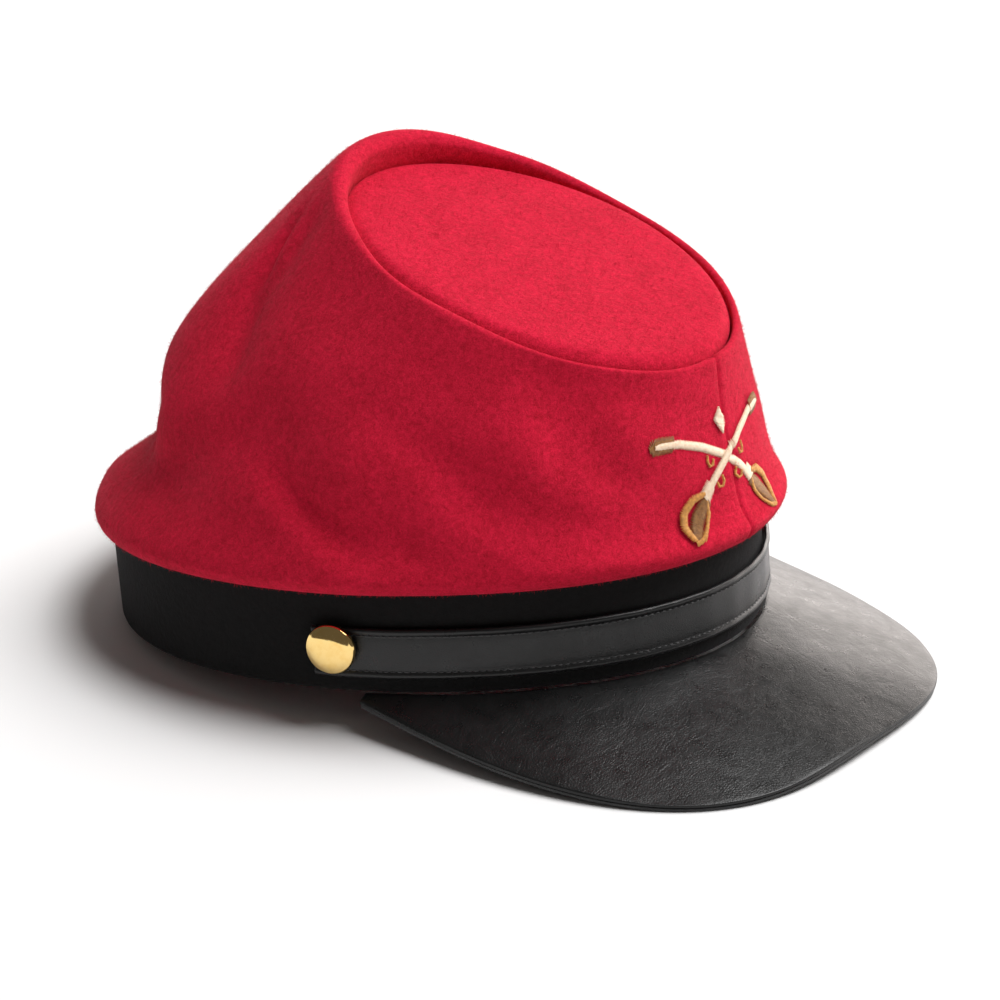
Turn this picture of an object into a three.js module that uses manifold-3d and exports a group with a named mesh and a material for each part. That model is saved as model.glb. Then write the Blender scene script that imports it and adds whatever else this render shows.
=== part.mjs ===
// A kepi: a soft cap with a felt crown that leans forward under a small sunken top, a felt band round the
// head, a leather chin strap across the front with a domed button at each end, and a peak of two leathers.
// Millimetres, +Z up, the peak towards -Y and the wearer's right towards -X. Each piece is drawn with the
// band level. The whole cap is then leaned back until it rests, as it does on a table, on the back of its
// band and on the rim of its peak, and its box is centred over the origin.

import * as THREE from "three";
import { mergeVertices } from "three/addons/utils/BufferGeometryUtils.js";
import Module from "manifold-3d";

// ---------------------------------------------------------------- driving dimensions

const GAP = 0.3; // left between neighbouring pieces
const AROUND = 60; // steps round a closed wall

const head = { length: 192, width: 170 }; // inside the band: a 57 cm head
// taper is how much narrower the band is at the front.
const band = { wall: 3, height: 30.6, edge: 0.5, taper: 0.14 };
const felt = { wall: 2, hem: 2.2, out: 3.4 }; // its hem lies on the band's top, and its fold hangs outside it
const top = {
  halfWidth: 49.2,
  halfLength: 58.6,
  forward: 40.5,
  up: 102.3,
  tiltDeg: 21.5,
  thick: 2,
  dish: 1.2,
};
// The felt rolled over at the rim, down to its seam.
const roll = { startDeg: 25, steps: 5, round: 0.9, tuck: 3.2 };
const strap = {
  width: 14.6,
  thick: 1.9, // along its folded edges
  foldThick: 1.5, // between them
  foldTop: 0.9, // from an edge to where it is thickest
  foldWidth: 2.6,
  edgeOut: 0.57, // how far an edge stands off the strap's back
  edgeRound: 0.3,
  low: 4.4,
  past: 6.2,
  steps: 32,
};
const button = {
  radius: 7,
  dome: 3.8,
  edge: 0.7,
  angleDeg: 16.8,
  up: 13.4,
  postRadius: 1.7,
  postPast: 1.2, // how far its post stands out behind the band
  holeRadius: 2.1,
  holeSides: 16,
};
const peak = {
  reach: 110.5, // from its tips to the front of its rim
  tipForward: 35.5, // how far in front of the cap's middle its tips are
  halfWidth: 80.8,
  squareness: 2.95, // of its rim in plan, where 2 is an ellipse
  slope: 0.352, // fall for each millimetre forward, at the middle
  flattening: 0.13, // how much less it falls at its tips
  upperThick: 1.3,
  underThick: 1.1,
  underInset: 0.4, // of the lower leather's rim from the upper one's
  upperSoften: 0.4, // how far each leather's rim is rounded down
  underSoften: 0.2,
  steps: 28,
  across: 5,
};

const bandOuter = { halfLength: head.length / 2 + band.wall, halfWidth: head.width / 2 + band.wall };

// The rings of the crown's wall. up is the share of the way from the band to the rim, and back, side and
// front are how far the felt stands out there from a straight line between the two.
const WALL_ROWS = [
  { up: 0.02, back: 6.8, side: 7.2, front: 7.2 },
  { up: 0.07, back: 7.6, side: 8.2, front: 7.8 },
  { up: 0.12, back: 4.2, side: 7.2, front: 6.0 },
  { up: 0.17, back: 1.0, side: 6.4, front: 4.6 },
  { up: 0.23, back: 0.6, side: 6.0, front: 3.6 },
  { up: 0.3, back: 4.2, side: 6.2, front: 3.0 },
  { up: 0.38, back: 9.4, side: 6.6, front: 2.6 },
  { up: 0.47, back: 13.6, side: 6.8, front: 2.0 },
  { up: 0.56, back: 15.0, side: 6.2, front: 1.4 },
  { up: 0.65, back: 14.0, side: 5.2, front: 0.8 },
  { up: 0.74, back: 11.6, side: 3.8, front: 0.4 },
  { up: 0.83, back: 8.2, side: 2.2, front: 0.2 },
  { up: 0.92, back: 4.4, side: 1.0, front: 0.2 },
];

// How far the felt hangs below the band's top.
const DROOP = { back: 4.4, side: 2.8, front: 2.6 };

// The rolled rim: how high it stands over the top, and how wide the roll is.
const RIM = {
  rise: { back: 8.4, side: 1.0, front: -0.6 },
  width: { back: 8.0, side: 3.0, front: 2.2 },
};

// Folds of the felt: each is a soft line from one place on the wall to another, given by its angle round
// the cap in degrees (0 at the wearer's right, 90 at the front, 270 at the back) and its share of the way
// up. width is half its breadth, and height how far it stands out, less than 0 for a valley.
const FOLDS = [
  // The deep creases that the back sags into, over the band and beside the rim.
  { fromAngle: 292, fromUp: 0.18, toAngle: 336, toUp: 0.26, width: 9, height: -3.5 },
  { fromAngle: 248, fromUp: 0.18, toAngle: 206, toUp: 0.25, width: 10, height: -3 },
  { fromAngle: 312, fromUp: 0.93, toAngle: 318, toUp: 0.76, width: 7, height: -4.2 },
  { fromAngle: 318, fromUp: 0.76, toAngle: 328, toUp: 0.6, width: 8, height: -3 },
  { fromAngle: 226, fromUp: 0.9, toAngle: 214, toUp: 0.64, width: 9, height: -3 },
  // The felt swells between them.
  { fromAngle: 308, fromUp: 0.6, toAngle: 322, toUp: 0.34, width: 16, height: 4.6 },
  { fromAngle: 232, fromUp: 0.56, toAngle: 222, toUp: 0.36, width: 16, height: 2.6 },
  // The wearer's right side.
  { fromAngle: 338, fromUp: 0.7, toAngle: 364, toUp: 0.7, width: 13, height: 1.8 },
  { fromAngle: 345, fromUp: 0.47, toAngle: 380, toUp: 0.22, width: 11, height: -2.6 },
  { fromAngle: 20, fromUp: 0.22, toAngle: 38, toUp: 0.1, width: 9, height: -1.8 },
  { fromAngle: 352, fromUp: 0.33, toAngle: 380, toUp: 0.08, width: 9, height: 1.7 },
  { fromAngle: 6, fromUp: 0.51, toAngle: 32, toUp: 0.21, width: 10, height: 2.4 },
  { fromAngle: 32, fromUp: 0.21, toAngle: 54, toUp: 0.17, width: 9, height: 1.8 },
  { fromAngle: 22, fromUp: 0.54, toAngle: 38, toUp: 0.38, width: 8, height: -1.6 },
  { fromAngle: 40, fromUp: 0.61, toAngle: 58, toUp: 0.35, width: 9, height: 1.8 },
  { fromAngle: 34, fromUp: 0.92, toAngle: 66, toUp: 0.88, width: 7, height: -1.2 },
  { fromAngle: 48, fromUp: 0.78, toAngle: 62, toUp: 0.44, width: 8, height: -1.7 },
  { fromAngle: 59, fromUp: 0.78, toAngle: 65, toUp: 0.56, width: 7, height: 1.1 },
  // The wearer's left side, more gently.
  { fromAngle: 196, fromUp: 0.5, toAngle: 162, toUp: 0.22, width: 12, height: -2 },
  { fromAngle: 178, fromUp: 0.6, toAngle: 148, toUp: 0.26, width: 11, height: 1.8 },
  { fromAngle: 138, fromUp: 0.72, toAngle: 124, toUp: 0.42, width: 10, height: -1.4 },
  { fromAngle: 204, fromUp: 0.72, toAngle: 178, toUp: 0.78, width: 12, height: 1.4 },
];

// ---------------------------------------------------------------- plan curves

const radians = THREE.MathUtils.degToRad;

// How fast a point moves along the band's oval as its angle grows. The angle is 0 at the wearer's right
// and a right angle at the front.
function bandTangent(angle) {
  const s = Math.sin(angle);
  const c = Math.cos(angle);
  const sideways = band.taper * c * c + (1 - band.taper * s) * s;
  return new THREE.Vector3(bandOuter.halfWidth * sideways, -bandOuter.halfLength * c, 0);
}

// The band's outward direction at an angle.
function bandNormal(angle) {
  const tangent = bandTangent(angle);
  return new THREE.Vector3(tangent.y, -tangent.x, 0).normalize();
}

// A point at an angle, standing out from the band's outer face.
function bandPoint(angle, out, z) {
  const halfWidth = bandOuter.halfWidth * (1 - band.taper * Math.sin(angle));
  return new THREE.Vector3(
    -halfWidth * Math.cos(angle),
    -bandOuter.halfLength * Math.sin(angle),
    z,
  ).addScaledVector(bandNormal(angle), out);
}

const topTilt = radians(top.tiltDeg);
const topMiddle = new THREE.Vector3(0, -top.forward, top.up);
const topUp = new THREE.Vector3(0, -Math.sin(topTilt), Math.cos(topTilt));
const topForward = new THREE.Vector3(0, -Math.cos(topTilt), -Math.sin(topTilt));

// A point in the plane of the crown's top, at a share of the way out to its seam.
function topPoint(angle, share, height) {
  return topMiddle
    .clone()
    .add(new THREE.Vector3(-share * top.halfWidth * Math.cos(angle), 0, 0))
    .addScaledVector(topForward, share * top.halfLength * Math.sin(angle))
    .addScaledVector(topUp, height);
}

// The outward direction in the plane of the top.
function topNormal(angle) {
  return new THREE.Vector3(-Math.cos(angle) / top.halfWidth, 0, 0)
    .addScaledVector(topForward, Math.sin(angle) / top.halfLength)
    .normalize();
}

// Blends a figure given for the back, side and front round the cap.
function blended(figures, angle) {
  const towardsFront = Math.sin(angle);
  const share = towardsFront * towardsFront;
  return figures.side * (1 - share) + (towardsFront > 0 ? figures.front : figures.back) * share;
}

// ---------------------------------------------------------------- solids from sections

// A solid through sections that are closed loops of as many points each. A ring's last section joins its
// first, and a bar's two ends are closed by strips between the two sides of the loop.
function loft(sections, isRing) {
  const count = sections.length;
  const points = sections[0].length;
  const index = [];
  for (let i = 0; i < (isRing ? count : count - 1); i++)
    for (let j = 0; j < points; j++) {
      const here = i * points + j;
      const beside = i * points + ((j + 1) % points);
      const next = ((i + 1) % count) * points + j;
      const nextBeside = ((i + 1) % count) * points + ((j + 1) % points);
      index.push(here, next, beside, beside, next, nextBeside);
    }
  if (!isRing) {
    const last = (count - 1) * points;
    for (let j = 0; j < points / 2 - 1; j++) {
      const across = points - 1 - j;
      index.push(j, j + 1, across, across, j + 1, across - 1);
      index.push(last + j, last + across, last + j + 1, last + across, last + across - 1, last + j + 1);
    }
  }
  return new THREE.BufferGeometry().setFromPoints(sections.flat()).setIndex(index);
}

// Angles evenly spaced between two ends, both included.
function anglesBetween(from, to, steps) {
  return Array.from({ length: steps + 1 }, (_, i) => from + ((to - from) * i) / steps);
}

const roundAngles = anglesBetween(0, 2 * Math.PI, AROUND).slice(0, AROUND);

const wasm = await Module();
wasm.setup();

// A closed geometry as a solid that manifold-3d can cut.
function solidOf(geometry) {
  const bare = geometry.clone();
  bare.deleteAttribute("normal");
  bare.deleteAttribute("uv");
  const merged = mergeVertices(bare, 1e-4);
  return new wasm.Manifold(
    new wasm.Mesh({
      numProp: 3,
      vertProperties: merged.attributes.position.array,
      triVerts: new Uint32Array(merged.index.array),
    }),
  );
}

// A geometry with others cut out of it.
function cut(geometry, tools) {
  const mesh = tools.reduce((solid, tool) => solid.subtract(solidOf(tool)), solidOf(geometry)).getMesh();
  return new THREE.BufferGeometry()
    .setAttribute("position", new THREE.BufferAttribute(mesh.vertProperties, 3))
    .setIndex(new THREE.BufferAttribute(mesh.triVerts, 1));
}

// ---------------------------------------------------------------- crown

// How far a fold stands out at a place on the wall: most at its middle, fading to either side and past its
// ends.
function foldHeight(fold, angle, up) {
  // Degrees round the cap and shares of the height are both brought to about millimetres on the felt.
  const roundStep = radians(bandOuter.halfWidth);
  const across = (fold.toAngle - fold.fromAngle) * roundStep;
  const span = new THREE.Vector2(across, (fold.toUp - fold.fromUp) * top.up);
  const turned = THREE.MathUtils.radToDeg(angle) - (fold.fromAngle + fold.toAngle) / 2;
  const nearest = turned - 360 * Math.round(turned / 360) + (fold.toAngle - fold.fromAngle) / 2;
  const place = new THREE.Vector2(nearest * roundStep, (up - fold.fromUp) * top.up);
  const share = place.dot(span) / span.lengthSq();
  const beside = place.distanceTo(span.clone().multiplyScalar(share));
  const beyond = Math.max(0, -share, share - 1) * span.length();
  const fade = Math.exp(-((beside / fold.width) ** 2) - (beyond / fold.width) ** 2);
  return fold.height * fade;
}

// How far all the folds together move the felt there.
function foldAt(angle, up) {
  return FOLDS.reduce((sum, fold) => sum + foldHeight(fold, angle, up), 0);
}

// The felt's outer face at one angle, from the hem on the band up to the rim and down into the seam of the
// top.
function crownLine(angle) {
  const rise = blended(RIM.rise, angle);
  const halfRoll = blended(RIM.width, angle) / 2;
  const rollFoot = topPoint(angle, 1, rise - halfRoll * roll.round);
  const rollMiddle = rollFoot.addScaledVector(topNormal(angle), halfRoll);
  const rolled = anglesBetween(radians(roll.startDeg), Math.PI, roll.steps).map((turn) =>
    rollMiddle
      .clone()
      .addScaledVector(topNormal(angle), halfRoll * Math.cos(turn))
      .addScaledVector(topUp, halfRoll * roll.round * Math.sin(turn)),
  );
  const foot = bandPoint(angle, 0, band.height);
  const wall = WALL_ROWS.map((row) =>
    foot
      .clone()
      .lerp(rolled[0], row.up)
      .addScaledVector(bandNormal(angle), blended(row, angle) + foldAt(angle, row.up)),
  );
  return [
    bandPoint(angle, -felt.hem, band.height + GAP),
    bandPoint(angle, GAP, band.height + GAP),
    bandPoint(angle, felt.out, band.height - blended(DROOP, angle)),
    ...wall,
    ...rolled,
    topPoint(angle, 1, -roll.tuck),
  ];
}

// The second face of a sheet, at its thickness behind a grid of lines that closes on itself.
function backedBy(lines, thickness) {
  return lines.map((line, i) => {
    const before = lines[(i + lines.length - 1) % lines.length];
    const after = lines[(i + 1) % lines.length];
    return line.map((point, j) => {
      const along = line[Math.min(j + 1, line.length - 1)].clone().sub(line[Math.max(j - 1, 0)]);
      const inwards = along.cross(after[j].clone().sub(before[j])).normalize();
      return point.clone().addScaledVector(inwards, thickness);
    });
  });
}

function crownSide() {
  const outer = roundAngles.map(crownLine);
  const inner = backedBy(outer, felt.wall);
  return loft(
    outer.map((line, i) => [...line, ...inner[i].toReversed()]),
    true,
  );
}

// The top is a round of felt stretched to the seam's oval, and lies a little hollow inside the rim.
function crownTop() {
  const shares = [0, 0.6, 1];
  const dish = (share) => top.dish * (1 - share * share);
  const face = (height) => shares.map((share) => new THREE.Vector2(share, height - dish(share)));
  const profile = [...face(-top.thick), ...face(0).toReversed()];
  const frame = new THREE.Matrix4().makeBasis(new THREE.Vector3(1, 0, 0), topForward.clone().negate(), topUp);
  return new THREE.LatheGeometry(profile, AROUND)
    .rotateX(Math.PI / 2)
    .scale(top.halfWidth - GAP, top.halfLength - GAP, 1)
    .applyMatrix4(frame.setPosition(topMiddle));
}

// ---------------------------------------------------------------- band, strap and buttons

function bandWall() {
  const { wall, height, edge } = band;
  const section = (angle) => [
    bandPoint(angle, -edge, 0),
    bandPoint(angle, 0, edge),
    bandPoint(angle, 0, height / 2),
    bandPoint(angle, 0, height),
    bandPoint(angle, -wall, height),
    bandPoint(angle, -wall, edge),
    bandPoint(angle, edge - wall, 0),
  ];
  return loft(roundAngles.map(section), true);
}

// The angle round the band that is a distance along it from another.
function angleAlong(from, distance) {
  return from + distance / bandTangent(from).length();
}

const buttonAngle = radians(button.angleDeg);

// The strap's edges are folded over, so it is thicker along them than at its middle.
function chinStrap() {
  const { width, thick, foldThick, foldWidth, foldTop, edgeOut, edgeRound, low } = strap;
  const outline = [
    { out: edgeOut, up: 0 },
    { out: thick, up: foldTop },
    { out: foldThick, up: foldWidth },
    { out: foldThick, up: width - foldWidth },
    { out: thick, up: width - foldTop },
    { out: edgeOut, up: width },
    { out: 0, up: width - edgeRound },
    { out: 0, up: width - foldTop },
    { out: 0, up: width - foldWidth },
    { out: 0, up: foldWidth },
    { out: 0, up: foldTop },
    { out: 0, up: edgeRound },
  ];
  const first = angleAlong(buttonAngle, -strap.past);
  const sections = anglesBetween(first, Math.PI - first, strap.steps).map((angle) =>
    outline.map(({ out, up }) => bandPoint(angle, GAP + out, low + up)),
  );
  return loft(sections, false);
}

// A domed button with the post that holds it, turned about its own +Z, with its back at Z 0.
function buttonShape() {
  const { radius, dome, edge, postRadius } = button;
  const postLength = band.wall + GAP + strap.thick + GAP + button.postPast;
  const roundness = anglesBetween(0, Math.PI / 2, 5).map(
    (turn) => new THREE.Vector2(radius * Math.cos(turn), edge + (dome - edge) * Math.sin(turn)),
  );
  roundness.at(-1).x = 0;
  const profile = [
    new THREE.Vector2(0, -postLength),
    new THREE.Vector2(postRadius, -postLength),
    new THREE.Vector2(postRadius, 0),
    new THREE.Vector2(radius - edge, 0),
    ...roundness,
  ];
  return new THREE.LatheGeometry(profile, 20).rotateX(Math.PI / 2);
}

// Places a thing drawn about its own +Z on the strap, at a button's place.
function placeAtButton(object, angle) {
  const outward = bandNormal(angle);
  object.position.copy(bandPoint(angle, 0, button.up).addScaledVector(outward, strap.thick + 2 * GAP));
  object.quaternion.setFromUnitVectors(new THREE.Vector3(0, 0, 1), outward);
  object.updateMatrix();
  return object;
}

// The hole that a button's post passes through.
function postHole(angle) {
  const tool = placeAtButton(new THREE.Object3D(), angle);
  return new THREE.CylinderGeometry(button.holeRadius, button.holeRadius, band.height, button.holeSides)
    .rotateX(Math.PI / 2)
    .applyMatrix4(tool.matrix);
}

// ---------------------------------------------------------------- peak

// How far forward the band's front reaches at a distance from the cap's middle line, found by halving.
function bandForwardAt(x) {
  let low = 0;
  let high = Math.PI / 2;
  for (let i = 0; i < 30; i++) {
    const middle = (low + high) / 2;
    if (Math.abs(bandPoint(middle, 0, 0).x) > Math.abs(x)) low = middle;
    else high = middle;
  }
  return -bandPoint(low, 0, 0).y;
}

// The fall of the peak's upper face at a place in plan. It is straight from the band outwards along Y, as a
// flat leather takes that shape when its inner edge is bent round the band.
function peakHeight(x, forward) {
  const slope = peak.slope - peak.flattening * (x / peak.halfWidth) ** 2;
  return -Math.max(forward - bandForwardAt(x), 0) * slope;
}

// A point on the rim: turn is 0 at the wearer's right tip and pi at the left one.
function rimPlan(turn, inset) {
  const power = 2 / peak.squareness;
  const c = Math.cos(turn);
  const s = Math.sin(turn);
  return {
    x: -(peak.halfWidth - inset) * Math.sign(c) * Math.abs(c) ** power,
    forward: peak.tipForward + (peak.reach - inset) * Math.abs(s) ** power,
  };
}

// One layer of the peak between two depths below its upper face.
function peakLayer(from, to, inset, soften) {
  const tip = Math.asin(peak.tipForward / bandOuter.halfLength);
  const inner = anglesBetween(tip, Math.PI - tip, peak.steps);
  const sections = inner.map((angle, i) => {
    const start = bandPoint(angle, GAP, 0);
    const rim = rimPlan((Math.PI * i) / peak.steps, inset);
    const face = (depth, shorten) =>
      anglesBetween(0, 1, peak.across).map((share) => {
        const x = THREE.MathUtils.lerp(start.x, rim.x, share);
        const forward = THREE.MathUtils.lerp(-start.y, rim.forward, share);
        const edge = share === 1 ? shorten : 0;
        return new THREE.Vector3(x, -forward, peakHeight(x, forward) - depth - edge);
      });
    return [...face(to, 0), ...face(from, soften).toReversed()];
  });
  return loft(sections, false);
}

// ---------------------------------------------------------------- assembly

function material(color, roughness, metalness = 0) {
  return new THREE.MeshStandardMaterial({ color, roughness, metalness });
}

const redFelt = material(0xb4112f, 0.95);
const blackFelt = material(0x161616, 0.95);
const blackLeather = material(0x1d1f20, 0.45);
const gilt = material(0xe0b23c, 0.15, 1);

const cap = new THREE.Group();

function add(name, geometry, finish) {
  const mesh = new THREE.Mesh(geometry, finish);
  mesh.name = name;
  cap.add(mesh);
  return mesh;
}

const buttonAngles = [buttonAngle, Math.PI - buttonAngle];
const holes = buttonAngles.map(postHole);

const underTop = peak.upperThick + GAP;

add("crown_side", crownSide(), redFelt);
add("crown_top", crownTop(), redFelt);
add("band", cut(bandWall(), holes), blackFelt);
add("chin_strap", cut(chinStrap(), holes), blackLeather);
add("button_right", buttonShape(), gilt);
add("button_left", buttonShape(), gilt);
add("peak_upper", peakLayer(0, peak.upperThick, 0, peak.upperSoften), blackLeather);
const lowerLeather = peakLayer(underTop, underTop + peak.underThick, peak.underInset, peak.underSoften);
add("peak_underside", lowerLeather, blackLeather);
["button_right", "button_left"].forEach((name, i) => {
  placeAtButton(cap.getObjectByName(name), buttonAngles[i]);
});

// The cap leans back about the back of its band until the lowest point of its peak is as low as the band.
function restingTilt() {
  const backEdge = bandOuter.halfLength - band.edge;
  const points = cap.getObjectByName("peak_underside").geometry.getAttribute("position");
  let tilt = 0;
  for (let i = 0; i < points.count; i++)
    tilt = Math.max(tilt, Math.atan2(-points.getZ(i), backEdge - points.getY(i)));
  return tilt;
}

cap.rotation.x = -restingTilt();
cap.updateMatrixWorld(true);
const box = new THREE.Box3().setFromObject(cap, true);
cap.position.set(-(box.min.x + box.max.x) / 2, -(box.min.y + box.max.y) / 2, -box.min.z);

const kepi = new THREE.Group();
kepi.add(cap);

export default kepi;
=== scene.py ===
"""The looks of a felt kepi: its nap, seams, stitches, leathers, gilt buttons and badge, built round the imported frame."""

import logging
import math
from contextlib import contextmanager
from dataclasses import dataclass, field
from enum import Enum
from typing import Callable, Iterator, Sequence

import bpy
import numpy as np
from mathutils import Matrix, Quaternion, Vector
from mathutils.bvhtree import BVHTree


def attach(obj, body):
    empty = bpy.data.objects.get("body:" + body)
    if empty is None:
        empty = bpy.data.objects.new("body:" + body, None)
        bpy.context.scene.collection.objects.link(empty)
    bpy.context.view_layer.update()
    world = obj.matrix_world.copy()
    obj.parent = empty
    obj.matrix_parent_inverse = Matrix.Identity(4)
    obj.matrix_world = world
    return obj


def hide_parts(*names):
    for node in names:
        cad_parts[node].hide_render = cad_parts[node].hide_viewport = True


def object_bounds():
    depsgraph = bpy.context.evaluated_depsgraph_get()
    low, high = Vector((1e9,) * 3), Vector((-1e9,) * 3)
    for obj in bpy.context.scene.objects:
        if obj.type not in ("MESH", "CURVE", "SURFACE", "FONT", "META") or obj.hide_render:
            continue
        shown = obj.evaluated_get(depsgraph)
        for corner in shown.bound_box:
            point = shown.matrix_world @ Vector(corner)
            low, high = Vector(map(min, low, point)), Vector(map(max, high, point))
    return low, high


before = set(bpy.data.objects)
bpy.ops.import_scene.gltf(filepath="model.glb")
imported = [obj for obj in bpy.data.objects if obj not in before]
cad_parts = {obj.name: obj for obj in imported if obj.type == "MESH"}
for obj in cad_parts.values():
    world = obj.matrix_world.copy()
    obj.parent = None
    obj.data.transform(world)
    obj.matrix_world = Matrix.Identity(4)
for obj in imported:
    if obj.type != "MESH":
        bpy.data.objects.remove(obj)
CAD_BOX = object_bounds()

log = logging.getLogger("kepi")
MM = 0.001


# ---------------------------------------------------------------- working by hand


def select_only(piece: bpy.types.Object) -> None:
    """Makes a piece the only selected one, and active."""
    bpy.ops.object.select_all(action="DESELECT")
    piece.select_set(True)
    bpy.context.view_layer.objects.active = piece


@contextmanager
def editing(piece: bpy.types.Object, mode: str = "FACE") -> Iterator[None]:
    """Opens a piece in edit mode with nothing selected, and leaves edit mode at the end.

    Args:
        piece: The piece to edit.
        mode: What is selected in it: VERT, EDGE or FACE.
    """
    select_only(piece)
    bpy.ops.object.mode_set(mode="EDIT")
    bpy.ops.mesh.select_mode(type=mode)
    bpy.ops.mesh.select_all(action="DESELECT")
    yield
    bpy.ops.object.mode_set(mode="OBJECT")


def apply_modifier(piece: bpy.types.Object, kind: str, **settings: object) -> None:
    """Adds a modifier to a piece with these settings and applies it."""
    select_only(piece)
    modifier = piece.modifiers.new(kind.title(), kind)
    for name, value in settings.items():
        setattr(modifier, name, value)
    bpy.ops.object.modifier_apply(modifier=modifier.name)


def smooth(piece: bpy.types.Object, angle_deg: float = 180) -> None:
    """Shades a piece smooth across every edge flatter than an angle."""
    select_only(piece)
    bpy.ops.object.shade_smooth_by_angle(angle=math.radians(angle_deg))


def subdivide(piece: bpy.types.Object, levels: int) -> None:
    """Rounds a piece by subdivision and applies it."""
    apply_modifier(piece, "SUBSURF", levels=levels, render_levels=levels, boundary_smooth="PRESERVE_CORNERS")


def copy_of_node(node: str, name: str) -> bpy.types.Object:
    """Copies a frame node's mesh into a new piece, joined up and in quads, for finer work.

    Args:
        node: The frame node.
        name: The new piece's name.

    Returns:
        The new piece.
    """
    piece = bpy.data.objects.new(name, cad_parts[node].data.copy())
    piece.data.materials.clear()
    bpy.context.scene.collection.objects.link(piece)
    with editing(piece):
        bpy.ops.mesh.select_all(action="SELECT")
        bpy.ops.mesh.remove_doubles(threshold=0.02 * MM)
        bpy.ops.mesh.customdata_custom_splitnormals_clear()
        bpy.ops.mesh.tris_convert_to_quads(face_threshold=math.radians(60), shape_threshold=math.radians(180))
    return piece


def move_points(piece: bpy.types.Object, moved: Callable[[np.ndarray, np.ndarray], np.ndarray]) -> None:
    """Moves every point of a piece at once.

    Args:
        piece: The piece.
        moved: Takes the points and their normals, as rows, and returns the new points.
    """
    count = len(piece.data.vertices)
    points = np.empty(count * 3)
    normals = np.empty(count * 3)
    piece.data.vertices.foreach_get("co", points)
    piece.data.vertices.foreach_get("normal", normals)
    piece.data.vertices.foreach_set("co", moved(points.reshape(-1, 3), normals.reshape(-1, 3)).ravel())
    piece.data.update()


def joined(name: str, vertices: np.ndarray, faces: np.ndarray) -> bpy.types.Object:
    """Makes one piece from vertices and faces, as many like shapes laid side by side."""
    mesh = bpy.data.meshes.new(name)
    mesh.from_pydata(vertices.tolist(), [], faces.tolist())
    mesh.update()
    piece = bpy.data.objects.new(name, mesh)
    bpy.context.scene.collection.objects.link(piece)
    return piece


def finish_piece(piece: bpy.types.Object, slot: str, material: bpy.types.Material, *nodes: str) -> None:
    """Dresses a piece in its material, hangs it under the cap's root and hides the frame nodes that it stands for.

    Args:
        piece: The finished piece.
        slot: Not used.
        material: Its material.
        nodes: The frame nodes that it stands for, if any.
    """
    piece.data.materials.clear()
    piece.data.materials.append(material)
    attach(piece, "root")
    if nodes:
        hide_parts(*nodes)


# ---------------------------------------------------------------- the cap's own frame


@dataclass(frozen=True)
class CapFrame:
    """The cap before it is leaned back to rest: band level, its oval centred over the origin, in millimetres."""

    half_length: float = 99.0
    half_width: float = 88.0
    taper: float = 0.14
    lean_deg: float = 5.064
    back_shift: float = 20.1675
    lift: float = 8.6945
    band_height: float = 30.6

    def matrix(self) -> Matrix:
        """From the cap's own millimetres to the frame's metres."""
        turn = Matrix.Rotation(math.radians(-self.lean_deg), 4, "X")
        return Matrix.Scale(MM, 4) @ Matrix.Translation((0, self.back_shift, self.lift)) @ turn

    def place(self, points: np.ndarray) -> np.ndarray:
        """Takes rows of points from the cap's own millimetres to the frame."""
        matrix = np.array(self.matrix())
        return points @ matrix[:3, :3].T + matrix[:3, 3]

    def own(self, points: np.ndarray) -> np.ndarray:
        """Takes rows of points from the frame to the cap's own millimetres."""
        matrix = np.array(self.matrix().inverted())
        return points @ matrix[:3, :3].T + matrix[:3, 3]

    def tangent(self, angle: np.ndarray) -> np.ndarray:
        """How a point moves along the band's oval as its angle grows from 0 at the right to the front."""
        s, c = np.sin(angle), np.cos(angle)
        sideways = self.taper * c * c + (1 - self.taper * s) * s
        return np.stack([self.half_width * sideways, -self.half_length * c, np.zeros_like(s)], -1)

    def normal(self, angle: np.ndarray) -> np.ndarray:
        """The band's outward direction at an angle."""
        tangent = self.tangent(angle)
        out = np.stack([tangent[..., 1], -tangent[..., 0], tangent[..., 2]], -1)
        return out / np.linalg.norm(out, axis=-1, keepdims=True)

    def band_point(self, angle: np.ndarray, out: np.ndarray, height: np.ndarray) -> np.ndarray:
        """A point that stands out from the band's outer face at an angle and a height."""
        s, c = np.sin(angle), np.cos(angle)
        oval = np.stack(
            [-self.half_width * (1 - self.taper * s) * c, -self.half_length * s, np.zeros_like(s) + height], -1
        )
        return oval + self.normal(angle) * np.asarray(out)[..., None]

    def angles_by_length(self, start: float, end: float, count: int) -> np.ndarray:
        """Angles between two ends whose points are evenly spaced along the band."""
        fine = np.linspace(start, end, 2001)
        pace = np.linalg.norm(self.tangent(fine), axis=-1)
        length = np.concatenate([[0], np.cumsum((pace[1:] + pace[:-1]) / 2 * np.diff(fine))])
        return np.interp(np.linspace(0, length[-1], count), length, fine)

    def length_between(self, start: float, end: float) -> float:
        """How far it is along the band between two angles."""
        fine = np.linspace(start, end, 401)
        return float(np.linalg.norm(self.tangent(fine), axis=-1).mean() * abs(end - start))


CAP = CapFrame()


# ---------------------------------------------------------------- finishes


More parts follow.
